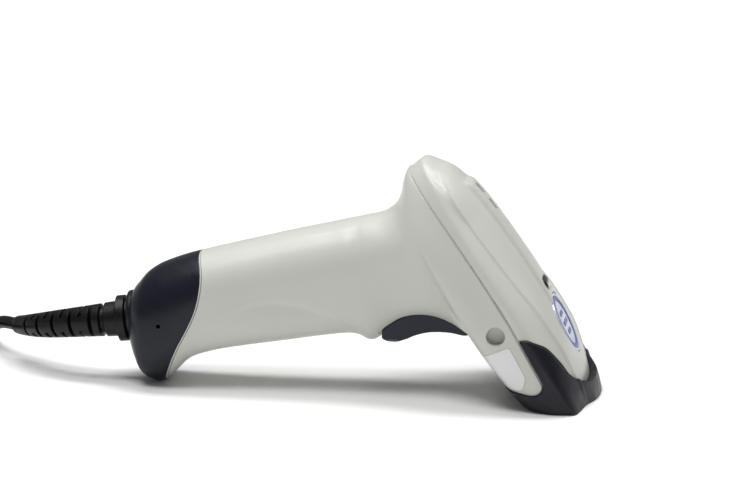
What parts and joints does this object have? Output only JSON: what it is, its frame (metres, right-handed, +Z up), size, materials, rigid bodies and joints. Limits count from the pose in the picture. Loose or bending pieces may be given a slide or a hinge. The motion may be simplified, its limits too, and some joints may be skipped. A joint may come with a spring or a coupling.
{
  "type": "handheld barcode scanner",
  "caption": "Handheld barcode scanner with a sloped wide head, rubber nose bumper, finger trigger, ribbed cable relief and coiled USB cord.",
  "frame": {"origin": "on the surface the scanner lies on, under the middle of its bounding box without the free cord", "axes": "+X towards the nose, +Y to the scanner's left seen from the handle end, +Z up"},
  "size_m": [0.3028, 0.1119, 0.0833],
  "materials": {
    "shell": "satin light grey-beige",
    "bumper_rubber": "satin dark navy",
    "cap_plastic": "satin dark navy",
    "trigger_plastic": "satin dark navy",
    "window": "polished deep red",
    "badge_plate": "glossy silver-white",
    "badge_ink": "glossy blue print",
    "label": "satin white film",
    "smoked_lens": "gloss smoked",
    "led": "clear",
    "led_red": "clear red",
    "steel": "nickel plated",
    "black_plastic": "matte",
    "red_plastic": "satin",
    "white_plastic": "satin",
    "clear_plastic": "clear",
    "circuit_board": "green solder mask",
    "flex_film": "amber film",
    "lens_glass": "polished",
    "boot_rubber": "matte black",
    "cord_jacket": "satin black PVC"
  },
  "bodies": {
    "scanner": {"body_shell": "shell", "top_cover": "shell", "bumper": "bumper_rubber", "end_cap": "cap_plastic", "scan_window": "window", "badge": "badge_plate", "badge_emblem": "badge_ink", "rating_label": "label", "indicator_lens": "smoked_lens", "indicator_led": "led", "trigger_pin": "steel", "trigger_spring": "steel", "trigger_switch": "black_plastic", "main_board": "circuit_board", "decoder_chips": "black_plastic", "head_board": "circuit_board", "buzzer": "black_plastic", "optics_chassis": "black_plastic", "chassis_screws": "steel", "lens_barrel": "black_plastic", "lens_element": "lens_glass", "sensor_board": "circuit_board", "ccd_sensor": "black_plastic", "sensor_flex": "flex_film", "led_board": "circuit_board", "illumination_leds": "led_red", "cover_screws": "steel", "cable_socket": "black_plastic", "cable_plug": "clear_plastic", "plug_latch": "clear_plastic", "cable_boot": "boot_rubber", "cord_lead": "cord_jacket", "cord_coil": "cord_jacket", "cord_tie": "cord_jacket", "cord_tail": "cord_jacket", "usb_overmold": "boot_rubber", "usb_shell": "steel", "usb_tongue": "white_plastic"},
    "trigger": {"trigger": "trigger_plastic", "switch_plunger": "red_plastic"}
  },
  "joints": [
    {"name": "trigger_pivot", "type": "hinge", "parent": "scanner", "child": "trigger", "pos_m": [0.036, 0, 0.0266], "axis": [0, 1, 0], "range_deg": [0, 6], "stiffness_Nm_per_rad": 0.15, "springref_deg": -11.46, "deforming": ["trigger_spring"]}
  ]
}
